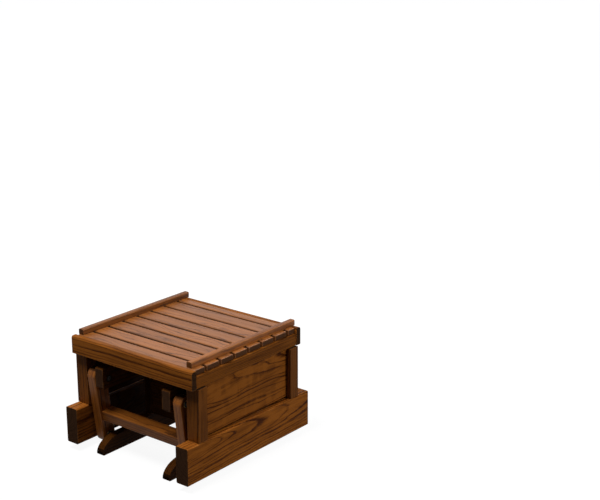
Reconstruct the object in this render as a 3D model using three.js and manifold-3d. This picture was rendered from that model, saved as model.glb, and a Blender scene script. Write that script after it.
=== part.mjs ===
// Glider ottoman: a slatted oak footstool that hangs in four swing links from a fixed base.
// Millimetres. X runs left to right along the front, Y runs from front to back (the way it glides)
// and Z is up. The origin is on the floor, under the middle of the ottoman.

import * as THREE from 'three';
import { mergeVertices } from 'three/addons/utils/BufferGeometryUtils.js';
import Module from 'manifold-3d';

// Clearances and the fineness of round shapes
const seatGap = 0.3;
const runningClearance = 0.08;
const faceClearance = 0.6;
const openPivotClearance = 1.5;
const cutOverrun = 2;
const weldDistance = 0.0001;
const arcSteps = 5;
const noseSteps = 10;
const riseSteps = 6;
const roundSides = 24;
const hexSides = 6;

// The stool's overall sizes, and the stock that its posts and bottom boards are cut from
const stoolWidth = 485;
const topHeight = 346;
const topDepth = 471;
const stockThickness = 44.5;

// Slatted top of the stool
const postLedge = 5.5;
const apronHeight = 54;
const apronThickness = 18;
const apronRound = 7;
const easedEdge = 2;
const sideApronThickness = 18;
const sideApronInset = 2;
const slatCount = 8;
const slatGap = 8;
const frontSlatShare = 0.83;
const rearSlatShare = 0.59;
const slatThickness = 18;
const slatEndInset = 5;
const slatRound = 4;
const slatEndRound = 3;

// Strips that stop a cushion from sliding off the slats
const stripWidth = 19;
const stripHeight = 17;
const stripRound = 4;
const stripFrontInset = 23;
const stripRearInset = 1;
const rightStripInset = 14;

// Posts, side panels and bottom boards of the stool
const postDepth = 35;
const panelThickness = 18;
const panelRecess = 15.5;
const panelHousing = 8;
const panelFootGap = 3.5;
const boardLength = 531;
const boardHeight = 110.5;
const boardRound = 4;
const boardFloorGap = 23;

// Fixed base: two side frames, each a runner, an upright and an arm
const runnerThickness = 25.5;
const runnerLength = 482;
const runnerHeight = 49;
const runnerNoseLength = 76;
const runnerSoleRound = 5;
const runnerSeatRise = 14;
const runnerSeatLedge = 14;
const runnerRiseLength = 45;
const uprightWidth = 76;
const armThickness = 31;
const armHeight = 63;
const armLength = 461;
const armTopSpace = 24;
const armLinkSpace = 6.5;
const armRound = 5;

// Joinery and cross rails of the base
const tenonThickness = 10;
const tenonShoulder = 8;
const tenonDepth = 15;
const railThickness = 20;
const railTenonShoulder = 6;
const railTenonDepth = 12;
const railSpace = 5;
const railJointGap = 2;

// Swing frames: links, cross bars and the places of their pivots
const pivotEndInset = 25.2;
const pivotDrop = 4;
const lowPivotRise = 16.5;
const linkLeanDegrees = 7.56;
const linkWidth = 46;
const linkThickness = 31;
const linkBoardSpace = 12;
const linkEdgeRound = 2;
const crossBarRise = 53;
const crossBarWidth = 42;
const crossBarHeight = 31;
const crossBarOffset = 5;
const crossBarRound = 3;
const crossTenonDepth = 10;
const crossTenonShoulder = 7;

// Pivot bolts and flanged bearing bushes
const boltRadius = 4;
const boltHeadRadius = 7.5;
const boltHeadHeight = 5;
const washerRadius = 9;
const washerThickness = 1.5;
const nutHeight = 5;
const boltEndStub = 1;
const boltScrewDepth = 32;
const headRecessRadius = 11;
const headRecessDepth = 8;
const bearingRadius = 10.7;
const flangeRadius = 13;
const flangeThickness = 2;
const hubRadius = 9;

// Places worked out from the sizes above
const topLength = stoolWidth - 2 * postLedge;
const innerDepth = topDepth - 2 * apronThickness;
const slatBottom = topHeight - slatThickness;
const apronBottom = topHeight - apronHeight;
const boardTop = boardFloorGap + boardHeight;
const boardInnerX = stoolWidth / 2 - stockThickness;
const sideApronOuterX = topLength / 2 - sideApronInset;
const sideApronInnerX = sideApronOuterX - sideApronThickness;
const slatEndX = sideApronOuterX - slatEndInset;
const linkOuterX = boardInnerX - linkBoardSpace;
const linkInnerX = linkOuterX - linkThickness;
const armOuterX = linkInnerX - armLinkSpace;
const armInnerX = armOuterX - armThickness;
const sideFrameX = (armInnerX + armOuterX) / 2;
const armBottom = apronBottom - armTopSpace - armHeight;
const runnerSeatTop = runnerHeight + runnerSeatRise;
const railHeight = (armBottom - runnerSeatTop - 2 * railSpace - railJointGap) / 2;
const railY = (railThickness - uprightWidth) / 2;
const pivotY = armLength / 2 - pivotEndInset;
const pivotZ = armBottom + armHeight / 2 - pivotDrop;
const lowPivotZ = boardFloorGap + lowPivotRise;
const linkLean = THREE.MathUtils.degToRad(linkLeanDegrees);
const linkLength = (pivotZ - lowPivotZ) / Math.cos(linkLean);
const lowPivotY = pivotY - linkLength * Math.sin(linkLean);
const crossBarTop = crossBarRise + crossBarHeight - linkLength;

// The four hands of the ottoman: side is -1 on the left and 1 on the right, end is -1 in front
const sides = [['left', -1], ['right', 1]];
const ends = [['front', -1], ['rear', 1]];

const ottoman = new THREE.Group();
const wasm = await Module();
wasm.setup();

// Finishes: one material of its own for each piece
const oakColours = { top: 0xb98a66, frame: 0x7a4a26, base: 0x5f381f };

function oak(tone) {
  return new THREE.MeshStandardMaterial({ color: oakColours[tone], roughness: 0.5, metalness: 0 });
}

function zincSteel() {
  return new THREE.MeshStandardMaterial({ color: 0xb9b6ae, roughness: 0.35, metalness: 1 });
}

function brass() {
  return new THREE.MeshStandardMaterial({ color: 0xb5883c, roughness: 0.35, metalness: 1 });
}

// Adds a named piece to a group
function addPiece(name, geometry, material, group = ottoman) {
  const mesh = new THREE.Mesh(geometry, material);
  mesh.name = name;
  group.add(mesh);
  return mesh;
}

// Turns a closed geometry into a solid that can be cut, and back
function toSolid(geometry) {
  const bare = geometry.clone();
  bare.deleteAttribute('normal');
  bare.deleteAttribute('uv');
  const welded = mergeVertices(bare, weldDistance);
  return new wasm.Manifold(new wasm.Mesh({
    numProp: 3,
    vertProperties: new Float32Array(welded.attributes.position.array),
    triVerts: new Uint32Array(welded.index.array),
  }));
}

function toGeometry(solid) {
  const mesh = solid.getMesh();
  const geometry = new THREE.BufferGeometry();
  geometry.setAttribute('position', new THREE.BufferAttribute(mesh.vertProperties, mesh.numProp));
  geometry.setIndex(new THREE.BufferAttribute(mesh.triVerts, 1));
  geometry.computeVertexNormals();
  return geometry;
}

function cutFrom(geometry, cutters) {
  return toGeometry(cutters.reduce((rest, cutter) => rest.subtract(toSolid(cutter)), toSolid(geometry)));
}

function joinAll(geometries) {
  const solids = geometries.map(toSolid);
  return toGeometry(solids.reduce((whole, solid) => whole.add(solid)));
}

// A box between two corners
function boxBetween([x0, y0, z0], [x1, y1, z1]) {
  const box = new THREE.BoxGeometry(Math.abs(x1 - x0), Math.abs(y1 - y0), Math.abs(z1 - z0));
  return box.translate((x0 + x1) / 2, (y0 + y1) / 2, (z0 + z1) / 2);
}

// A rectangle about the origin with its own round on each corner
function roundedOutline(width, height, { bottomLeft = 0, bottomRight = 0, topRight = 0, topLeft = 0 }) {
  const corners = [
    [-1, -1, bottomLeft, Math.PI],
    [1, -1, bottomRight, Math.PI * 1.5],
    [1, 1, topRight, 0],
    [-1, 1, topLeft, Math.PI / 2],
  ];
  const outline = new THREE.Shape();
  corners.forEach(([right, up, round, start], index) => {
    const centreX = right * (width / 2 - round);
    const centreY = up * (height / 2 - round);
    if (index === 0) outline.moveTo(centreX + round * Math.cos(start), centreY + round * Math.sin(start));
    if (round > 0) outline.absarc(centreX, centreY, round, start, start + Math.PI / 2);
    else outline.lineTo(centreX, centreY);
  });
  return outline;
}

function evenOutline(width, height, round) {
  const everyCorner = { bottomLeft: round, bottomRight: round, topRight: round, topLeft: round };
  return roundedOutline(width, height, everyCorner);
}

// Stretches an outline along one axis, centred on the origin. Along X the outline lies in Y and Z,
// along Y it lies in X and Z.
const turnAlongX = new THREE.Matrix4().set(0, 0, 1, 0, 1, 0, 0, 0, 0, 1, 0, 0, 0, 0, 0, 1);
const turnAlongY = new THREE.Matrix4().set(1, 0, 0, 0, 0, 0, -1, 0, 0, 1, 0, 0, 0, 0, 0, 1);

function extrudeAlong(turn, outline, length, edgeRound = 0) {
  const geometry = new THREE.ExtrudeGeometry(outline, {
    depth: length - 2 * edgeRound,
    bevelEnabled: edgeRound > 0,
    bevelSize: edgeRound,
    bevelThickness: edgeRound,
    bevelOffset: -edgeRound,
    bevelSegments: 2,
    curveSegments: arcSteps,
  });
  return geometry.translate(0, 0, edgeRound - length / 2).applyMatrix4(turn);
}

// A round bar along X from x0 to x1, and one that reaches over its radius, for a bore
function roundBar(x0, x1, radius, y = 0, z = 0, facets = roundSides) {
  const bar = new THREE.CylinderGeometry(radius, radius, Math.abs(x1 - x0), facets);
  return bar.rotateZ(Math.PI / 2).translate((x0 + x1) / 2, y, z);
}

function boreBar(x0, x1, radius, y = 0, z = 0) {
  return roundBar(x0, x1, radius / Math.cos(Math.PI / roundSides), y, z);
}

// Front and rear aprons, with a large round on the outer top edge
function addAprons() {
  for (const [endName, end] of ends) {
    const rounds = end < 0
      ? { topLeft: apronRound, topRight: easedEdge, bottomLeft: easedEdge }
      : { topRight: apronRound, topLeft: easedEdge, bottomRight: easedEdge };
    const outline = roundedOutline(apronThickness, apronHeight, rounds);
    const apron = addPiece(`${endName}_apron`, extrudeAlong(turnAlongX, outline, topLength), oak('frame'));
    apron.position.set(0, end * (topDepth - apronThickness) / 2, topHeight - apronHeight / 2);
  }
}

// Side aprons, between the front and rear aprons and under the slats' ends
function addSideAprons() {
  const height = slatBottom - seatGap - apronBottom;
  const rounds = { bottomLeft: easedEdge, bottomRight: easedEdge };
  const outline = roundedOutline(sideApronThickness, height, rounds);
  for (const [sideName, side] of sides) {
    const geometry = extrudeAlong(turnAlongY, outline, innerDepth - 2 * seatGap);
    const apron = addPiece(`${sideName}_side_apron`, geometry, oak('frame'));
    apron.position.set(side * (sideApronOuterX - sideApronThickness / 2), 0, apronBottom + height / 2);
  }
}

// Slats with rounded edges, laid from front to back between the aprons and just short of the side
// aprons' faces. The first and last are narrower.
function addSlats() {
  const room = innerDepth - 2 * seatGap - (slatCount - 1) * slatGap;
  const fullWidth = room / (slatCount - 2 + frontSlatShare + rearSlatShare);
  let front = seatGap - innerDepth / 2;
  for (let index = 0; index < slatCount; index += 1) {
    let width = fullWidth;
    if (index === 0) width *= frontSlatShare;
    if (index === slatCount - 1) width *= rearSlatShare;
    const outline = roundedOutline(width, slatThickness, { topLeft: slatRound, topRight: slatRound });
    const geometry = extrudeAlong(turnAlongX, outline, 2 * slatEndX, slatEndRound);
    const slat = addPiece(`slat_${index + 1}`, geometry, oak('top'));
    slat.position.set(0, front + width / 2, topHeight - slatThickness / 2);
    front += width + slatGap;
  }
}

// Cushion stop strips on top of the slats. The left one is flush with their ends, the right one is not.
function addStrips() {
  const outline = roundedOutline(stripWidth, stripHeight, { topLeft: stripRound, topRight: stripRound });
  const length = topDepth - stripFrontInset - stripRearInset;
  for (const [sideName, side] of sides) {
    const inset = side < 0 ? 0 : rightStripInset;
    const strip = addPiece(`${sideName}_strip`, extrudeAlong(turnAlongY, outline, length), oak('frame'));
    const centreX = side * (slatEndX - inset - stripWidth / 2);
    const centreY = (stripFrontInset - stripRearInset) / 2;
    strip.position.set(centreX, centreY, topHeight + seatGap + stripHeight / 2);
  }
}

// Corner posts: full section up to the aprons' lower edge, then a tongue inside the aprons.
// The side panel is housed in the face that looks along the side.
function addPosts() {
  const outerX = stoolWidth / 2;
  const innerX = outerX - stockThickness;
  const outerY = innerDepth / 2 - seatGap;
  const innerY = outerY - postDepth;
  const bottom = boardTop + seatGap;
  const top = slatBottom - seatGap;
  const ledge = apronBottom - seatGap;
  const panelOuterX = outerX - panelRecess;
  for (const [sideName, side] of sides) {
    for (const [endName, end] of ends) {
      const block = boxBetween([side * innerX, end * innerY, bottom], [side * outerX, end * outerY, top]);
      const notch = boxBetween(
        [side * (sideApronInnerX - seatGap), end * (innerY - cutOverrun), ledge],
        [side * (outerX + cutOverrun), end * (outerY + cutOverrun), top + cutOverrun],
      );
      const housing = boxBetween(
        [side * (panelOuterX - panelThickness - seatGap), end * (innerY - cutOverrun), bottom - cutOverrun],
        [side * (panelOuterX + seatGap), end * (innerY + panelHousing), ledge + cutOverrun],
      );
      addPiece(`${endName}_${sideName}_post`, cutFrom(block, [notch, housing]), oak('frame'));
    }
  }
}

// Side panels, housed in the posts, with a shadow gap above the bottom boards
function addPanels() {
  const outerX = stoolWidth / 2 - panelRecess;
  const halfDepth = innerDepth / 2 - seatGap - postDepth + panelHousing - seatGap;
  for (const [sideName, side] of sides) {
    const panel = boxBetween(
      [side * (outerX - panelThickness), -halfDepth, boardTop + panelFootGap],
      [side * outerX, halfDepth, apronBottom - seatGap],
    );
    addPiece(`${sideName}_panel`, panel, oak('frame'));
  }
}

// Bottom boards, bored for the lower pivot bolts
function addBoards() {
  const outline = evenOutline(stockThickness, boardHeight, boardRound);
  for (const [sideName, side] of sides) {
    const centreX = side * (stoolWidth - stockThickness) / 2;
    const blank = extrudeAlong(turnAlongY, outline, boardLength);
    blank.translate(centreX, 0, boardFloorGap + boardHeight / 2);
    const boreEndX = boardInnerX + boltScrewDepth + seatGap;
    const bores = ends.map(([, end]) => boreBar(
      side * (boardInnerX - cutOverrun), side * boreEndX, boltRadius + seatGap, end * lowPivotY, lowPivotZ,
    ));
    addPiece(`${sideName}_bottom_board`, cutFrom(blank, bores), oak('frame'));
  }
}

// Outline of a runner: flat sole, small round at each end, a long quarter-ellipse nose, and a smooth
// rise to the seat of the upright in the middle
function runnerOutline() {
  const half = runnerLength / 2;
  const noseStart = half - runnerNoseLength;
  const noseRise = runnerHeight - runnerSoleRound;
  const seatHalf = uprightWidth / 2 + runnerSeatLedge;
  const upperSide = [];
  for (let step = 1; step <= noseSteps; step += 1) {
    const angle = (step / noseSteps) * Math.PI / 2;
    const along = noseStart + runnerNoseLength * Math.cos(angle);
    upperSide.push([along, runnerSoleRound + noseRise * Math.sin(angle)]);
  }
  for (let step = 0; step <= riseSteps; step += 1) {
    const angle = (step / riseSteps) * Math.PI;
    const along = seatHalf + runnerRiseLength * (1 - step / riseSteps);
    upperSide.push([along, runnerHeight + runnerSeatRise * (1 - Math.cos(angle)) / 2]);
  }
  const outline = new THREE.Shape();
  outline.moveTo(-half + runnerSoleRound, 0);
  outline.absarc(half - runnerSoleRound, runnerSoleRound, runnerSoleRound, -Math.PI / 2, 0);
  upperSide.forEach(([along, height]) => outline.lineTo(along, height));
  [...upperSide].reverse().forEach(([along, height]) => outline.lineTo(-along, height));
  outline.absarc(-half + runnerSoleRound, runnerSoleRound, runnerSoleRound, Math.PI, Math.PI * 1.5);
  return outline;
}

// A mortise is its tenon with the seat gap all round
function tenonBlock(centreX, bottom, top, grow) {
  const halfThickness = tenonThickness / 2 + grow;
  const halfWidth = uprightWidth / 2 - tenonShoulder + grow;
  return boxBetween([centreX - halfThickness, -halfWidth, bottom], [centreX + halfThickness, halfWidth, top]);
}

// Runners, which carry the uprights' lower tenons
function addRunners() {
  for (const [sideName, side] of sides) {
    const blank = extrudeAlong(turnAlongX, runnerOutline(), runnerThickness);
    blank.translate(side * sideFrameX, 0, 0);
    const mortiseBottom = runnerSeatTop - tenonDepth - seatGap;
    const mortise = tenonBlock(side * sideFrameX, mortiseBottom, runnerSeatTop + cutOverrun, seatGap);
    addPiece(`${sideName}_runner`, cutFrom(blank, [mortise]), oak('base'));
  }
}

// Two wide cross rails, one above the other and flush with the front of the uprights, as [name, bottom]
const crossRails = [
  ['lower_cross_rail', runnerSeatTop + railSpace],
  ['upper_cross_rail', armBottom - railSpace - railHeight],
];

function railTenon(bottom, halfLength, grow) {
  const halfThickness = tenonThickness / 2 + grow;
  const low = bottom + railTenonShoulder - grow;
  const high = bottom + railHeight - railTenonShoulder + grow;
  return boxBetween([-halfLength, railY - halfThickness, low], [halfLength, railY + halfThickness, high]);
}

// Centre uprights between runner and arm, mortised for the cross rails
function addUprights() {
  const bottom = runnerSeatTop + seatGap;
  const top = armBottom - seatGap;
  const innerX = sideFrameX - runnerThickness / 2;
  for (const [sideName, side] of sides) {
    const centreX = side * sideFrameX;
    const plank = boxBetween(
      [centreX - runnerThickness / 2, -uprightWidth / 2, bottom],
      [centreX + runnerThickness / 2, uprightWidth / 2, top],
    );
    const tenon = tenonBlock(centreX, bottom - tenonDepth, top + tenonDepth, 0);
    const mortises = crossRails.map(([, low]) => railTenon(low, innerX + railTenonDepth + seatGap, seatGap));
    addPiece(`${sideName}_upright`, cutFrom(joinAll([plank, tenon]), mortises), oak('base'));
  }
}

// Cross rails that tie the two side frames together, with a stub tenon at each end
function addCrossRails() {
  const shoulderX = sideFrameX - runnerThickness / 2 - seatGap;
  for (const [name, bottom] of crossRails) {
    const rail = boxBetween(
      [-shoulderX, railY - railThickness / 2, bottom],
      [shoulderX, railY + railThickness / 2, bottom + railHeight],
    );
    const tenon = railTenon(bottom, shoulderX + railTenonDepth, 0);
    addPiece(name, joinAll([rail, tenon]), oak('base'));
  }
}

// Arms on the uprights, bored for the upper pivot bolts and recessed for their heads
function addArms() {
  const outline = evenOutline(armLength, armHeight, armRound);
  for (const [sideName, side] of sides) {
    const blank = extrudeAlong(turnAlongX, outline, armThickness);
    blank.translate(side * sideFrameX, 0, armBottom + armHeight / 2);
    const mortiseTop = armBottom + tenonDepth + seatGap;
    const mortise = tenonBlock(side * sideFrameX, armBottom - cutOverrun, mortiseTop, seatGap);
    const startX = side * (armInnerX - cutOverrun);
    const bores = ends.map(([, end]) => boreBar(
      startX, side * (armOuterX + cutOverrun), boltRadius + seatGap, end * pivotY, pivotZ,
    ));
    const recesses = ends.map(([, end]) => boreBar(
      startX, side * (armInnerX + headRecessDepth), headRecessRadius, end * pivotY, pivotZ,
    ));
    addPiece(`${sideName}_arm`, cutFrom(blank, [mortise, ...bores, ...recesses]), oak('base'));
  }
}

// Swing frame parts are made upright, with the upper pivot at the origin and the lower one below it
function crossTenon(halfLength, grow) {
  const halfWidth = crossBarWidth / 2 - crossTenonShoulder + grow;
  const top = crossBarTop - crossTenonShoulder + grow;
  const bottom = crossBarTop - crossBarHeight + crossTenonShoulder - grow;
  return boxBetween([-halfLength, -halfWidth, bottom], [halfLength, halfWidth, top]);
}

function linkGeometry(side, end) {
  const half = linkWidth / 2;
  const outline = new THREE.Shape();
  outline.absarc(0, 0, half, 0, Math.PI);
  outline.absarc(0, -linkLength, half, Math.PI, 2 * Math.PI);
  const blank = extrudeAlong(turnAlongX, outline, linkThickness, linkEdgeRound);
  blank.translate(side * (linkInnerX + linkOuterX) / 2, 0, 0);
  const borePlaces = [0, -linkLength];
  const bores = borePlaces.map((z) => boreBar(
    side * (linkInnerX - cutOverrun), side * (linkOuterX + cutOverrun), bearingRadius + seatGap, 0, z,
  ));
  const mortise = crossTenon(linkInnerX + crossTenonDepth + seatGap, seatGap);
  mortise.translate(0, -end * crossBarOffset, 0);
  return cutFrom(blank, [...bores, mortise]);
}

function crossBarGeometry(end) {
  const shoulderX = linkInnerX - seatGap;
  const outline = evenOutline(crossBarWidth, crossBarHeight, crossBarRound);
  const bar = extrudeAlong(turnAlongX, outline, 2 * shoulderX);
  bar.translate(0, 0, crossBarTop - crossBarHeight / 2);
  const whole = joinAll([bar, crossTenon(shoulderX + crossTenonDepth, 0)]);
  return whole.translate(0, -end * crossBarOffset, 0);
}

// A flanged bush pressed into the link. Its hub fills the space beside the link, up to hubEndX.
function bearingGeometry(backX, faceX, hubEndX, boreRadius) {
  const away = Math.sign(hubEndX - faceX);
  const flangeStart = faceX + away * seatGap;
  const sleeve = roundBar(backX, flangeStart + away * flangeThickness / 2, bearingRadius);
  const flange = roundBar(flangeStart, flangeStart + away * flangeThickness, flangeRadius);
  const hub = roundBar(flangeStart, hubEndX, hubRadius);
  const bore = boreBar(backX - away * cutOverrun, hubEndX + away * cutOverrun, boreRadius);
  return cutFrom(joinAll([sleeve, flange, hub]), [bore]);
}

// Front and rear swing frames, each hung at its upper pivots and leaning inwards at the bottom
function addSwingFrames() {
  for (const [endName, end] of ends) {
    const frame = new THREE.Group();
    frame.position.set(0, end * pivotY, pivotZ);
    frame.rotation.x = -end * linkLean;
    ottoman.add(frame);
    addPiece(`${endName}_cross_bar`, crossBarGeometry(end), oak('base'), frame);
    for (const [sideName, side] of sides) {
      addPiece(`${endName}_${sideName}_link`, linkGeometry(side, end), oak('base'), frame);
      const upperBore = boltRadius + runningClearance;
      const lowerBore = boltRadius + (end > 0 ? openPivotClearance : runningClearance);
      const armFaceX = side * (armOuterX + seatGap);
      const boardFaceX = side * (boardInnerX - seatGap);
      const upper = bearingGeometry(side * linkOuterX, side * linkInnerX, armFaceX, upperBore);
      const lower = bearingGeometry(side * linkInnerX, side * linkOuterX, boardFaceX, lowerBore);
      addPiece(`${endName}_${sideName}_upper_bearing`, upper, brass(), frame);
      const lowerMesh = addPiece(`${endName}_${sideName}_lower_bearing`, lower, brass(), frame);
      lowerMesh.position.z = -linkLength;
    }
  }
}

// Upper pivot bolts: hexagon head and washer sunk in the arm, nut and washer outside the link
function addUpperBolts() {
  const headFaceX = armInnerX + headRecessDepth - seatGap;
  const headX = headFaceX - washerThickness;
  const nutFaceX = linkOuterX + faceClearance;
  const nutX = nutFaceX + washerThickness;
  const endX = nutX + nutHeight + boltEndStub;
  for (const [sideName, side] of sides) {
    for (const [endName, end] of ends) {
      const bolt = joinAll([
        roundBar(side * (headX - boltHeadHeight), side * headX, boltHeadRadius, 0, 0, hexSides),
        roundBar(side * headX, side * headFaceX, washerRadius),
        roundBar(side * (headX - washerThickness), side * endX, boltRadius),
        roundBar(side * nutFaceX, side * nutX, washerRadius),
        roundBar(side * nutX, side * (nutX + nutHeight), boltHeadRadius, 0, 0, hexSides),
      ]);
      const mesh = addPiece(`${endName}_${sideName}_upper_bolt`, bolt, zincSteel());
      mesh.position.set(0, end * pivotY, pivotZ);
    }
  }
}

// Lower pivot bolts: the head is inside the link and the thread is screwed into the bottom board
function addLowerBolts() {
  const headFaceX = linkInnerX - faceClearance;
  const headX = headFaceX - washerThickness;
  const endX = boardInnerX + boltScrewDepth;
  for (const [sideName, side] of sides) {
    for (const [endName, end] of ends) {
      const bolt = joinAll([
        roundBar(side * (headX - boltHeadHeight), side * headX, boltHeadRadius, 0, 0, hexSides),
        roundBar(side * headX, side * headFaceX, washerRadius),
        roundBar(side * (headX - washerThickness), side * endX, boltRadius),
      ]);
      const mesh = addPiece(`${endName}_${sideName}_lower_bolt`, bolt, zincSteel());
      mesh.position.set(0, end * lowPivotY, lowPivotZ);
    }
  }
}

addAprons();
addSideAprons();
addSlats();
addStrips();
addPosts();
addPanels();
addBoards();
addRunners();
addUprights();
addCrossRails();
addArms();
addSwingFrames();
addUpperBolts();
addLowerBolts();

export default ottoman;
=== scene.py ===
import math
from collections import namedtuple
from dataclasses import dataclass

import bpy
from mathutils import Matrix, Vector


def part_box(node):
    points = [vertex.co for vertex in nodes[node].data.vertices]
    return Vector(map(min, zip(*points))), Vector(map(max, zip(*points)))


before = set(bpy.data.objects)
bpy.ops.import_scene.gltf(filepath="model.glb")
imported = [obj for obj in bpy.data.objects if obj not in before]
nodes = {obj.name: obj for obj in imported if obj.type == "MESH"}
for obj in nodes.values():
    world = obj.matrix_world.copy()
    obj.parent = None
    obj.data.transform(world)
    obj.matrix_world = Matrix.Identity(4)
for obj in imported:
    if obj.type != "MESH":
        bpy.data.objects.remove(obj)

# The scene is in metres
MM = 0.001
QUARTER_TURN = math.pi / 2
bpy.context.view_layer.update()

# A noise: its waves to the metre along x, y and z, how fine it gets and how rough
Noise = namedtuple("Noise", "waves detail roughness", defaults=(2.0, 0.5))

# A smooth step: as a value goes from low to high, the result goes from start to end
Step = namedtuple("Step", "low high start end", defaults=(0.0, 1.0))

# Camera, fitted to the photograph: its place, its turn from looking straight down, and the focal length of
# its lens and the width of its sensor in millimetres
CAMERA_PLACE = (2.4454, -2.5687, 1.6237)
CAMERA_TURN = (math.radians(73.73), 0.0, math.radians(38.24))
CAMERA_LENS = 76.8
SENSOR_WIDTH = 36.0

# Oak under a medium-dark stain, as linear colours
STAIN_LIGHT = (0.34, 0.108, 0.015)
STAIN_DARK = (0.072, 0.0165, 0.0020)
# The dark of the pores, which also colours the painted shade
PORE_AND_SHADE_DARK = (0.016, 0.005, 0.002)
RUBBED = (0.46, 0.19, 0.045)
END_LIGHT = (0.060, 0.028, 0.014)
END_DARK = (0.012, 0.006, 0.004)

# Noises of the oak, with z along the grain
WANDER = Noise((7.0, 7.0, 3.6))
RIPPLE = Noise((70.0, 70.0, 18.0))
PORE = Noise((1500.0, 1500.0, 45.0), roughness=0.6)
FIBRE = Noise((420.0, 420.0, 6.0), detail=3.0, roughness=0.65)
STREAK = Noise((110.0, 110.0, 3.0), detail=3.0, roughness=0.6)
MOTTLE = Noise((16.0, 16.0, 7.0))
CURL = Noise((9.0, 9.0, 48.0))
END_PORE = Noise((1100.0, 1100.0, 1100.0), detail=1.0)
WEAR = Noise((40.0, 40.0, 25.0), detail=3.0)

# How far the rings stray across the grain, in long bends and in small ripples
WANDER_REACH = (44 * MM, 44 * MM, 0.0)
RIPPLE_REACH = (3.4 * MM, 3.4 * MM, 0.0)
NOISE_MIDDLE = (0.5, 0.5, 0.5)
ACROSS_GRAIN = (1.0, 1.0, 0.0)

# How the rings crowd together and change in strength outwards, and where the dark early wood lies in each
CROWDING_WAVES = 50.0
CROWDING_RINGS = 2.5
STRENGTH_WAVES = 0.8
LINE_NOISE_DETAIL = 1.0
RING_STRENGTH = Step(0.25, 0.65, 0.45, 1.0)
RING_OPENS = Step(0.0, 0.10)
RING_CLOSES = Step(0.12, 0.42, 1.0, 0.0)

# Pores show where their noise is above a level, which is lower in early wood
PORE_LEVEL = 0.66
EARLY_PORE_DROP = 0.16
PORE_EDGE = Step(0.0, 0.06)

# What each part of the figure adds to the depth of the stain
FIBRE_DEPTH = Step(0.35, 0.75, -0.10, 0.25)
STREAK_DEPTH = Step(0.38, 0.66, -0.12, 0.34)
MOTTLE_DEPTH = Step(0.30, 0.70, -0.12, 0.22)
CURL_DEPTH = Step(0.40, 0.60, 0.22, -0.20)
END_PORE_DEPTH = Step(0.4, 0.65, 0.0, 0.5)

# Curl shows where the mottle is light
CURL_PLACES = Step(0.42, 0.56, 1.0, 0.15)

# How strongly rings mark the end grain, and how much of their own colour pores and rubbed edges take
END_RING_SHARE = 0.35
PORE_SHARE = 0.8
RUBBED_SHARE = 0.22

# Roughness and relief of the wood
FIBRE_ROUGHNESS = Step(0.3, 0.7, 0.36, 0.46)
PORE_ROUGHNESS = 0.2
END_ROUGHNESS = 0.2
FIBRE_HEIGHT = 0.25
PORE_HEIGHT = 0.7
RING_HEIGHT = 0.2
OAK_RELIEF = {"Strength": 0.35, "Distance": 0.4 * MM}

# Where a surface counts as end grain, or as facing along the axis that takes painted shade
END_FACING = Step(0.80, 0.97)
SHADED_AXIS_FACING = Step(0.6, 0.95)

# Edges are rubbed in patches, and a painted shadow darkens the joints
RUBBED_WIDTH = 0.6 * MM
RUBBED_FADE = 2.4 * MM
RUBBED_EDGE = Step(RUBBED_WIDTH, RUBBED_WIDTH + RUBBED_FADE, 1.0, 0.0)
RUBBED_PLACES = Step(0.42, 0.62)
JOINT_SHADOW_WIDTH = 1 * MM
JOINT_SHADOW_FADE = 5 * MM
JOINT_SHADOW_EDGE = Step(JOINT_SHADOW_WIDTH, JOINT_SHADOW_WIDTH + JOINT_SHADOW_FADE, 1.0, 0.0)

# Painted shade on the inner sides of the panels and bottom boards, as deep as the ledge that a board makes
# inside its panel, and as long as the panel
PANEL_LOW, PANEL_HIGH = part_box("right_panel")
LEDGE_WIDTH = PANEL_LOW.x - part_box("right_bottom_board")[0].x
LEDGE_FADE = 2 * MM
INNER_SHADE_REACH = Step(LEDGE_WIDTH, LEDGE_WIDTH + LEDGE_FADE, 1.0, 0.0)
PANEL_HALF_LENGTH = (PANEL_HIGH.y - PANEL_LOW.y) / 2
PANEL_FADE = 30 * MM
INNER_SHADE_ALONG = Step(PANEL_HALF_LENGTH - PANEL_FADE, PANEL_HALF_LENGTH + PANEL_FADE, 1.0, 0.0)

# Where each board lay in its log: the pith's depth below it and place beside it, how far these drift from
# board to board, the lean of the log's axis, and the length of log from one board to the next
PITH_DEPTH = 80 * MM
PITH_ASIDE = 18 * MM
PITH_DRIFT = 14 * MM
SLAT_DEPTH_SHARE = 0.6
PANEL_PITH_DEPTH = 100 * MM
PANEL_PITH_ASIDE = 72 * MM
BOARD_PITH_DEPTH = 56 * MM
BOARD_PITH_ASIDE = 38 * MM
LOG_LEAN = math.radians(0.8)
PANEL_LOG_LEAN = math.radians(3.0)
BOARD_LOG_RISE = math.radians(0.3)
BOARD_LOG_LEAN = math.radians(4.0)
NEXT_BOARD = 1370 * MM

# How fast each value drifts from board to board, in radians
DEPTH_TURN = 1.9
ASIDE_TURN = 2.7
RISE_TURN = 2.3
LEAN_TURN = 1.7
TINT_TURN = 3.1

# Spacing of the growth rings
RING_SPACING = 5.5 * MM
SLAT_RING_SPACING = 7 * MM
BOARD_RING_SPACING = 8 * MM
APRON_RING_SPACING = 10 * MM
PANEL_RING_SPACING = 11 * MM


# How one kind of board looks. Its tint multiplies the colour and drifts from board to board, and its sawn
# ends take end_share of the look of end grain. Contrast is that of the rings, and depth that of the stain.
# The shades are painted shade on its joints, its inner side and the faces along one axis.
@dataclass(frozen=True)
class FinishAndShade:
    tint: float
    tint_drift: float = 0.0
    end_tint: float = None
    end_share: float = 1.0
    spacing: float = RING_SPACING
    contrast: float = 0.75
    wander: float = 0.3
    curl: float = 0.0
    depth: float = 1.0
    gloss: float = 0.02
    joint_painted_shadow: float = 0.0
    inner_painted_shade: float = 0.0
    shaded_axis: str = ""
    axis_painted_shade: float = 0.0
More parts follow.
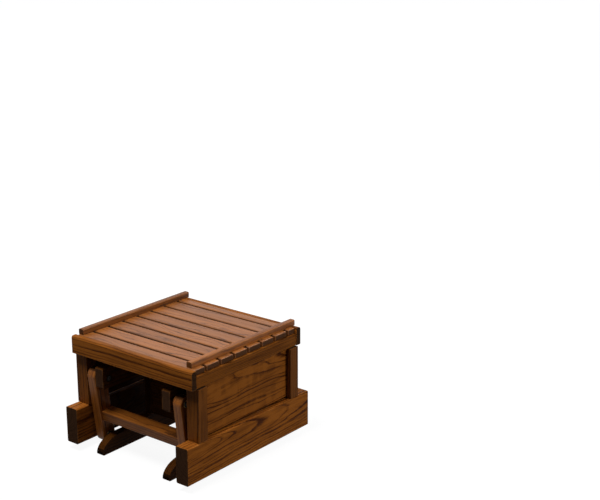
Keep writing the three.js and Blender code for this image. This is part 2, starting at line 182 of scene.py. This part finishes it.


# A board takes the first finish and painted shade whose key is in its name
FINISHES_AND_SHADES = {
    "slat_": FinishAndShade(
        tint=0.81, tint_drift=0.07, end_share=0.85, spacing=SLAT_RING_SPACING, contrast=0.65, wander=0.8,
        depth=0.68, gloss=0.36, shaded_axis="Y", axis_painted_shade=0.65,
    ),
    # The left strip's lower tint is painted shade
    "left_strip": FinishAndShade(tint=0.6, end_share=0.65, contrast=0.45, gloss=0.2),
    "right_strip": FinishAndShade(tint=0.92, end_share=0.65, contrast=0.45, gloss=0.2),
    "_panel": FinishAndShade(
        tint=0.92, spacing=PANEL_RING_SPACING, contrast=1.0, wander=1.0, curl=1.0, joint_painted_shadow=0.95,
        inner_painted_shade=0.85,
    ),
    "_bottom_board": FinishAndShade(
        tint=1.1, tint_drift=0.04, end_tint=1.5, spacing=BOARD_RING_SPACING, contrast=0.95, wander=0.7,
        inner_painted_shade=0.85,
    ),
    "_side_apron": FinishAndShade(tint=0.64),
    "_apron": FinishAndShade(
        tint=1.02, spacing=APRON_RING_SPACING, contrast=0.95, wander=0.5, shaded_axis="Z", axis_painted_shade=0.25,
    ),
    # The posts' tints are painted shade: darkest at the rear, and the front right darker than the front
    # left
    "front_left_post": FinishAndShade(tint=0.70, gloss=0.03),
    "front_right_post": FinishAndShade(tint=0.62, gloss=0.03),
    "_post": FinishAndShade(tint=0.48, gloss=0.03),
    "_cross_bar": FinishAndShade(tint=0.88, contrast=0.45, gloss=0.11),
    "_link": FinishAndShade(tint=1.08, tint_drift=0.08, contrast=0.5, gloss=0.14),
    # The pieces under the seat take low tints as painted shade
    "_runner": FinishAndShade(tint=0.24),
    "_arm": FinishAndShade(tint=0.26, end_tint=1.5),
    "_upright": FinishAndShade(tint=0.3),
    "_cross_rail": FinishAndShade(tint=0.3),
}

# Metal of the bolts and bearings, as linear colours, with turned marks along x and dull spots
STEEL = (0.025, 0.022, 0.02)
STEEL_ROUGHNESS = 0.55
BRASS = (0.50, 0.34, 0.13)
BRASS_ROUGHNESS = 0.34
MARK = Noise((2500.0, 300.0, 300.0))
MARK_ROUGHNESS = 0.12
SPOT = Noise((160.0, 160.0, 160.0), detail=3.0)
SPOT_SHADE = Step(0.4, 0.7)
SPOT_ROUGHNESS = Step(0.35, 0.7, 0.0, 0.22)
DULL_SHARE = 0.55
METAL_RELIEF = {"Strength": 0.25, "Distance": 0.1 * MM}

# Sawn edges are eased where two faces turn by more than this angle
EASE_WIDTH = 1.3 * MM
EASE_SEGMENTS = 3
EASE_ANGLE = math.radians(35.0)
WELD_REACH = 0.01 * MM

# Floor and surroundings: the half width of the floor, the tones that it and the world send back, the tone
# that takes the shadow, and the glow of the floor, less near the object than away from it
WHITE = 1.0
FLOOR_HALF = 40.0
FLOOR_BOUNCE = 0.06
FLOOR_CATCH = 0.12
NEAR_RADIUS = 0.5
AWAY_RADIUS = 1.6
NEAR_GLOW = 0.92
FLOOR_GLOW = Step(NEAR_RADIUS, AWAY_RADIUS, NEAR_GLOW, WHITE)
WORLD_BOUNCE = 0.04

# Square softboxes: the place, width and power of each, and the point that they all face
SOFTBOXES = {
    "key_softbox": ((-0.1, -0.9, 2.65), 1.0, 58.0),
    "right_softbox": ((2.5, 1.1, 1.9), 0.9, 44.0),
    "left_softbox": ((-3.0, 0.4, 0.9), 1.2, 26.0),
    "back_softbox": ((0.2, 3.0, 1.8), 1.2, 20.0),
}
LIT_POINT = (0.0, 0.0, 0.2)

WHOLE_SHARE = 1.0

# The colour sockets of a Mix node, by number, because its other sockets have the same names
MIX_SHARE = 0
MIX_FIRST = 6
MIX_SECOND = 7
MIX_RESULT = 2


def grey(level):
    return (level, level, level)


# A colour with its alpha, or a socket as it is
def opaque(color):
    return color if isinstance(color, bpy.types.NodeSocket) else (*color, 1.0)


# Short ways to write shader nodes
class Tree:
    def __init__(self, target):
        self.target = target

    def node(self, kind, inputs=None, **settings):
        made = self.target.nodes.new(kind)
        for key, value in settings.items():
            setattr(made, key, value)
        for key, value in (inputs or {}).items():
            socket = made.inputs[key]
            if isinstance(value, bpy.types.NodeSocket):
                self.target.links.new(value, socket)
            else:
                socket.default_value = value
        return made

    def math(self, operation, first, second=0.0, third=0.0, clamp=False):
        inputs = {0: first, 1: second, 2: third}
        return self.node("ShaderNodeMath", inputs, operation=operation, use_clamp=clamp).outputs[0]

    def vector(self, operation, first, second=(0.0, 0.0, 0.0)):
        return self.node("ShaderNodeVectorMath", {0: first, 1: second}, operation=operation).outputs[0]

    def scaled(self, vector, scale):
        inputs = {0: vector, "Scale": scale}
        return self.node("ShaderNodeVectorMath", inputs, operation="SCALE").outputs[0]

    def length(self, vector):
        return self.node("ShaderNodeVectorMath", {0: vector}, operation="LENGTH").outputs["Value"]

    def parts(self, vector):
        return self.node("ShaderNodeSeparateXYZ", {0: vector}).outputs

    def turned(self, vector, turn, shift=(0.0, 0.0, 0.0)):
        inputs = {"Vector": vector, "Rotation": turn, "Location": shift}
        return self.node("ShaderNodeMapping", inputs).outputs[0]

    def noise(self, place, noise, output=0):
        inputs = {
            "Vector": self.vector("MULTIPLY", place, noise.waves),
            "Scale": 1.0,
            "Detail": noise.detail,
            "Roughness": noise.roughness,
        }
        return self.node("ShaderNodeTexNoise", inputs).outputs[output]

    def line_noise(self, value, waves):
        inputs = {"W": self.math("MULTIPLY", value, waves), "Scale": 1.0, "Detail": LINE_NOISE_DETAIL}
        return self.node("ShaderNodeTexNoise", inputs, noise_dimensions="1D").outputs[0]

    def step(self, value, step, share=1.0):
        inputs = {
            "Value": value,
            "From Min": step.low,
            "From Max": step.high,
            "To Min": step.start * share,
            "To Max": step.end * share,
        }
        return self.node("ShaderNodeMapRange", inputs, interpolation_type="SMOOTHSTEP").outputs["Result"]

    def mix(self, share, first, second, blend="MIX"):
        inputs = {MIX_SHARE: share, MIX_FIRST: opaque(first), MIX_SECOND: opaque(second)}
        return self.node("ShaderNodeMix", inputs, data_type="RGBA", blend_type=blend).outputs[MIX_RESULT]


def new_material(name):
    material = bpy.data.materials.new(name)
    material.use_nodes = True
    material.node_tree.nodes.clear()
    return material, Tree(material.node_tree)


def set_material(piece, material):
    piece.data.materials.clear()
    piece.data.materials.append(material)


# Ends a material with a surface that has this relief
def add_surface(tree, relief, height, inputs):
    bump = tree.node("ShaderNodeBump", {"Height": height, **relief})
    shader = tree.node("ShaderNodeBsdfPrincipled", {"Normal": bump.outputs[0], **inputs})
    tree.node("ShaderNodeOutputMaterial", {"Surface": shader.outputs[0]})


# A noise's push across the grain
def push(tree, place, noise, reach):
    centred = tree.vector("SUBTRACT", tree.noise(place, noise, "Color"), NOISE_MIDDLE)
    return tree.vector("MULTIPLY", centred, reach)


# How dark the early wood of the growth rings is at each place
def early_wood(tree, place, spacing, wander):
    wandered = tree.vector("ADD", place, tree.scaled(push(tree, place, WANDER, WANDER_REACH), wander))
    bent = tree.vector("ADD", wandered, push(tree, place, RIPPLE, RIPPLE_REACH))
    radius = tree.length(tree.vector("MULTIPLY", bent, ACROSS_GRAIN))
    crowding = tree.math("MULTIPLY", tree.line_noise(radius, CROWDING_WAVES), CROWDING_RINGS)
    ring = tree.math("ADD", tree.math("DIVIDE", radius, spacing), crowding)
    within = tree.math("FRACT", ring)
    early = tree.math("MULTIPLY", tree.step(within, RING_OPENS), tree.step(within, RING_CLOSES))
    return tree.math("MULTIPLY", early, tree.step(tree.line_noise(ring, STRENGTH_WAVES), RING_STRENGTH))


# How deep the stain looks on the long grain
def stain_depth(tree, place, early, fibre, given):
    mottle = tree.noise(place, MOTTLE)
    curl = tree.step(tree.noise(place, CURL), CURL_DEPTH)
    curl = tree.math("MULTIPLY", curl, tree.step(mottle, CURL_PLACES))
    depth = tree.math("MULTIPLY", early, given["Contrast"])
    depth = tree.math("ADD", depth, tree.step(fibre, FIBRE_DEPTH))
    depth = tree.math("ADD", depth, tree.step(tree.noise(place, STREAK), STREAK_DEPTH))
    depth = tree.math("ADD", depth, tree.step(mottle, MOTTLE_DEPTH))
    depth = tree.math("MULTIPLY_ADD", curl, given["Curl"], depth)
    return tree.math("MULTIPLY", depth, given["Depth"], clamp=True)


# Growth rings, pores, fibres and curl of oak. Place is in metres with Z along the grain, End is 1 on end
# grain and Rub is 1 where an edge is rubbed.
def build_oak_group():
    group = bpy.data.node_groups.new("oak_grain", "ShaderNodeTree")
    group.interface.new_socket("Place", in_out="INPUT", socket_type="NodeSocketVector")
    for name in ("End", "Rub", "Spacing", "Contrast", "Wander", "Curl", "Depth"):
        group.interface.new_socket(name, in_out="INPUT", socket_type="NodeSocketFloat")
    group.interface.new_socket("Color", in_out="OUTPUT", socket_type="NodeSocketColor")
    for name in ("Roughness", "Height"):
        group.interface.new_socket(name, in_out="OUTPUT", socket_type="NodeSocketFloat")
    tree = Tree(group)
    given = tree.node("NodeGroupInput").outputs
    place = given["Place"]
    end = given["End"]

    early = early_wood(tree, place, given["Spacing"], given["Wander"])
    pore_level = tree.math("MULTIPLY_ADD", early, -EARLY_PORE_DROP, PORE_LEVEL)
    pores = tree.step(tree.math("SUBTRACT", tree.noise(place, PORE), pore_level), PORE_EDGE)
    fibre = tree.noise(place, FIBRE)

    color = tree.mix(stain_depth(tree, place, early, fibre, given), STAIN_LIGHT, STAIN_DARK)
    color = tree.mix(tree.math("MULTIPLY", pores, PORE_SHARE), color, PORE_AND_SHADE_DARK)
    end_pores = tree.step(tree.noise(place, END_PORE), END_PORE_DEPTH)
    end_depth = tree.math("ADD", tree.math("MULTIPLY", early, END_RING_SHARE), end_pores, clamp=True)
    color = tree.mix(end, color, tree.mix(end_depth, END_LIGHT, END_DARK))
    color = tree.mix(tree.math("MULTIPLY", given["Rub"], RUBBED_SHARE), color, RUBBED)

    rough = tree.step(fibre, FIBRE_ROUGHNESS)
    rough = tree.math("ADD", rough, tree.math("MULTIPLY", pores, PORE_ROUGHNESS))
    rough = tree.math("MULTIPLY_ADD", end, END_ROUGHNESS, rough)
    height = tree.math("MULTIPLY", fibre, FIBRE_HEIGHT)
    height = tree.math("SUBTRACT", height, tree.math("MULTIPLY", pores, PORE_HEIGHT))
    height = tree.math("SUBTRACT", height, tree.math("MULTIPLY", early, RING_HEIGHT))
    tree.node("NodeGroupOutput", {"Color": color, "Roughness": rough, "Height": height})
    return group


OAK_GROUP = build_oak_group()


def is_wood(name):
    return not name.endswith(("_bolt", "_bearing"))


# -1 for a board on the left side of the object and 1 for any other
def hand_of(name):
    return -1.0 if "left_" in name else 1.0


def middle_of(name):
    low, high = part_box(name)
    return (low + high) / 2


# The turn that brings a board's grain to Z, and the board's half sizes once it is turned. A link's grain
# leans with the line through its bearings.
def grain_of(name):
    low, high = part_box(name)
    half = (high - low) / 2
    if name.endswith("_link"):
        lower, upper = (middle_of(name.replace("link", end)) for end in ("lower_bearing", "upper_bearing"))
        line = upper - lower
        eye_radius = half.z - line.z / 2
        half_length = math.hypot(line.y, line.z) / 2 + eye_radius
        return (math.atan2(line.y, line.z), 0.0, 0.0), (half.x, eye_radius, half_length)
    if name.endswith(("_post", "_upright")):
        return (0.0, 0.0, 0.0), half
    if name.startswith("slat_") or name.endswith(("front_apron", "rear_apron", "cross_rail", "cross_bar")):
        return (0.0, -QUARTER_TURN, 0.0), half.zyx
    return (QUARTER_TURN, 0.0, 0.0), half.xzy


# Where the log's pith lies from a board, and how the log's axis leans
def log_of(name, seed):
    hand = hand_of(name)
    depth = PITH_DEPTH + PITH_DRIFT * math.sin(seed * DEPTH_TURN)
    aside = PITH_ASIDE + PITH_DRIFT * math.sin(seed * ASIDE_TURN)
    slope = (LOG_LEAN * math.sin(seed * RISE_TURN), LOG_LEAN * math.cos(seed * LEAN_TURN))
    if name.endswith("_panel"):
        return (-hand * PANEL_PITH_DEPTH, PANEL_PITH_ASIDE), (-PANEL_LOG_LEAN, hand * PANEL_LOG_LEAN)
    if name.endswith("_bottom_board"):
        return (-hand * BOARD_PITH_DEPTH, BOARD_PITH_ASIDE), (BOARD_LOG_RISE, -hand * BOARD_LOG_LEAN)
    if name.startswith("slat_"):
        return (-SLAT_DEPTH_SHARE * depth, aside), slope
    if name.endswith("_side_apron"):
        return (-aside, depth), slope
    if name.endswith("_post"):
        return (-depth, -depth), slope
    return (-depth, aside), slope


def finish_and_shade_of(name):
    return next(finish_and_shade for key, finish_and_shade in FINISHES_AND_SHADES.items() if key in name)


# How far a place is from the nearest edge of its board
def edge_distance(tree, place, half):
    inset = tree.parts(tree.vector("SUBTRACT", tuple(half), tree.vector("ABSOLUTE", place)))
    low = tree.math("MINIMUM", inset["X"], inset["Y"])
    high = tree.math("MAXIMUM", inset["X"], inset["Y"])
    return tree.math("MAXIMUM", low, tree.math("MINIMUM", high, inset["Z"]))


# The oak group on a board with this finish
def oak_figure(tree, finish_and_shade, place, end, rub):
    inputs = {
        "Place": place,
        "End": end,
        "Rub": rub,
        "Spacing": finish_and_shade.spacing,
        "Contrast": finish_and_shade.contrast,
        "Wander": finish_and_shade.wander,
        "Curl": finish_and_shade.curl,
        "Depth": finish_and_shade.depth,
    }
    return tree.node("ShaderNodeGroup", inputs, node_tree=OAK_GROUP).outputs


# A painted shadow near the edges of a board, where it meets its neighbours
def paint_joint_shadow(tree, color, share, distance):
    return tree.mix(tree.step(distance, JOINT_SHADOW_EDGE, share), color, PORE_AND_SHADE_DARK)


# Painted shade on the faces along one axis: the slats' sides in their gaps and the aprons' tops
def paint_axis_shade(tree, color, share, normal, axis):
    facing = tree.math("ABSOLUTE", tree.parts(normal)[axis])
    return tree.mix(tree.step(facing, SHADED_AXIS_FACING, share), color, PORE_AND_SHADE_DARK)


# Painted shade on the inner side of a board, along the panel's length
def paint_inner_shade(tree, color, share, place, half, hand):
    board = tree.parts(place)
    from_inside = tree.math("MULTIPLY_ADD", board["X"], hand, half[0])
    inner = tree.step(from_inside, INNER_SHADE_REACH, share)
    along = tree.step(tree.math("ABSOLUTE", board["Z"]), INNER_SHADE_ALONG)
    return tree.mix(tree.math("MULTIPLY", inner, along), color, PORE_AND_SHADE_DARK)


# One oak material for each board, cut from its own part of the log
def oak_material(name, seed):
    turn, half = grain_of(name)
    pith, slope = log_of(name, seed)
    finish_and_shade = finish_and_shade_of(name)
    tint = finish_and_shade.tint + finish_and_shade.tint_drift * math.sin(seed * TINT_TURN)
    end_tint = finish_and_shade.end_tint or tint

    material, tree = new_material("oak_" + name)
    coordinates = tree.node("ShaderNodeTexCoord").outputs
    normal = coordinates["Normal"]
    centred = tree.vector("SUBTRACT", coordinates["Object"], tuple(middle_of(name)))
    on_board = tree.turned(centred, turn)
    in_log = tree.turned(on_board, (*slope, 0.0), (*pith, seed * NEXT_BOARD))
    along_grain = tree.math("ABSOLUTE", tree.parts(tree.turned(normal, turn))["Z"])
    end = tree.step(along_grain, END_FACING, finish_and_shade.end_share)
    distance = edge_distance(tree, on_board, half)
    worn = tree.step(tree.noise(in_log, WEAR), RUBBED_PLACES)
    rub = tree.math("MULTIPLY", tree.step(distance, RUBBED_EDGE), worn)
    oak = oak_figure(tree, finish_and_shade, in_log, end, rub)

    color = tree.mix(WHOLE_SHARE, oak["Color"], tree.mix(end, grey(tint), grey(end_tint)), blend="MULTIPLY")
    # Painted shadow along the panel's joints
    if finish_and_shade.joint_painted_shadow:
        color = paint_joint_shadow(tree, color, finish_and_shade.joint_painted_shadow, distance)
    # Painted shade on the faces along one axis
    if finish_and_shade.axis_painted_shade:
        color = paint_axis_shade(tree, color, finish_and_shade.axis_painted_shade, normal, finish_and_shade.shaded_axis)
    # Painted shade on the inner side of the panels and bottom boards
    if finish_and_shade.inner_painted_shade:
        color = paint_inner_shade(tree, color, finish_and_shade.inner_painted_shade, on_board, half, hand_of(name))
    add_surface(tree, OAK_RELIEF, oak["Height"], {
        "Base Color": color,
        "Roughness": oak["Roughness"],
        "Specular IOR Level": tree.math("MULTIPLY_ADD", end, -finish_and_shade.gloss, finish_and_shade.gloss),
    })
    return material


def metal_material(name, color, roughness):
    material, tree = new_material(name)
    place = tree.node("ShaderNodeTexCoord").outputs["Object"]
    marks = tree.noise(place, MARK)
    spots = tree.noise(place, SPOT)
    dull = tuple(DULL_SHARE * channel for channel in color)
    rough = tree.math("MULTIPLY_ADD", marks, MARK_ROUGHNESS, roughness)
    add_surface(tree, METAL_RELIEF, marks, {
        "Base Color": tree.mix(tree.step(spots, SPOT_SHADE), color, dull),
        "Roughness": tree.math("ADD", tree.step(spots, SPOT_ROUGHNESS), rough),
        "Metallic": WHOLE_SHARE,
    })
    return material


# Rounds the sawn edges of a CAD piece with modifiers, which leave its own mesh as it is
def ease_edges(piece):
    weld = piece.modifiers.new("weld", "WELD")
    weld.merge_threshold = WELD_REACH
    bevel = piece.modifiers.new("ease", "BEVEL")
    bevel.width = EASE_WIDTH
    bevel.segments = EASE_SEGMENTS
    bevel.limit_method = "ANGLE"
    bevel.angle_limit = EASE_ANGLE
    bevel.use_clamp_overlap = True
    bevel.harden_normals = True


# Each board's seed is its number in the list of wooden pieces
def dress_wood():
    for seed, name in enumerate(filter(is_wood, sorted(nodes)), start=1):
        set_material(nodes[name], oak_material(name, seed))
        ease_edges(nodes[name])


def dress_metal():
    steel = metal_material("dark_steel", STEEL, STEEL_ROUGHNESS)
    brass = metal_material("bearing_brass", BRASS, BRASS_ROUGHNESS)
    for name, piece in nodes.items():
        if name.endswith("_bolt"):
            set_material(piece, steel)
        elif name.endswith("_bearing"):
            set_material(piece, brass)


# 1 where the camera, a reflection or a clear thing sees a surface, and 0 for the light that it sends back
def seen_share(tree):
    path = tree.node("ShaderNodeLightPath").outputs
    seen = tree.math("MAXIMUM", path["Is Camera Ray"], path["Is Glossy Ray"])
    return tree.math("MAXIMUM", seen, path["Is Transmission Ray"])


# White where it is seen, and a plain grey for the light it sends back. The white is fullest away from the
# object, and takes the shadow under it.
def floor_material():
    material, tree = new_material("floor_paper")
    away = tree.length(tree.node("ShaderNodeTexCoord").outputs["Object"])
    bounce = tree.node("ShaderNodeBsdfDiffuse", {"Color": opaque(grey(FLOOR_BOUNCE))})
    catch = tree.node("ShaderNodeBsdfDiffuse", {"Color": opaque(grey(FLOOR_CATCH))})
    strength = tree.step(away, FLOOR_GLOW)
    glow = tree.node("ShaderNodeEmission", {"Color": opaque(grey(WHITE)), "Strength": strength})
    bright = tree.node("ShaderNodeAddShader", {0: catch.outputs[0], 1: glow.outputs[0]})
    seen = seen_share(tree)
    mixed = tree.node("ShaderNodeMixShader", {0: seen, 1: bounce.outputs[0], 2: bright.outputs[0]})
    tree.node("ShaderNodeOutputMaterial", {"Surface": mixed.outputs[0]})
    return material


def build_floor():
    corners = [(x * FLOOR_HALF, y * FLOOR_HALF, 0.0) for x, y in ((-1, -1), (1, -1), (1, 1), (-1, 1))]
    mesh = bpy.data.meshes.new("floor")
    mesh.from_pydata(corners, [], [(0, 1, 2, 3)])
    floor = bpy.data.objects.new("floor", mesh)
    bpy.context.scene.collection.objects.link(floor)
    mesh.materials.append(floor_material())


def build_world():
    world = bpy.data.worlds.new("studio")
    bpy.context.scene.world = world
    world.use_nodes = True
    world.node_tree.nodes.clear()
    tree = Tree(world.node_tree)
    strength = tree.math("MULTIPLY_ADD", seen_share(tree), WHITE - WORLD_BOUNCE, WORLD_BOUNCE)
    background = tree.node("ShaderNodeBackground", {"Color": opaque(grey(WHITE)), "Strength": strength})
    tree.node("ShaderNodeOutputWorld", {"Surface": background.outputs[0]})


def add_softbox(name, place, width, power):
    lamp = bpy.data.lights.new(name, "AREA")
    lamp.shape = "SQUARE"
    lamp.size = width
    lamp.energy = power
    softbox = bpy.data.objects.new(name, lamp)
    softbox.location = place
    softbox.rotation_euler = (Vector(LIT_POINT) - Vector(place)).to_track_quat("-Z", "Y").to_euler()
    bpy.context.scene.collection.objects.link(softbox)


def build_camera():
    data = bpy.data.cameras.new("camera")
    data.sensor_width = SENSOR_WIDTH
    data.lens = CAMERA_LENS
    camera = bpy.data.objects.new("camera", data)
    camera.location = CAMERA_PLACE
    camera.rotation_euler = CAMERA_TURN
    bpy.context.scene.collection.objects.link(camera)
    bpy.context.scene.camera = camera


dress_wood()
dress_metal()
build_floor()
build_world()
for name, (place, width, power) in SOFTBOXES.items():
    add_softbox(name, place, width, power)
build_camera()
bpy.context.scene.view_settings.view_transform = "Standard"
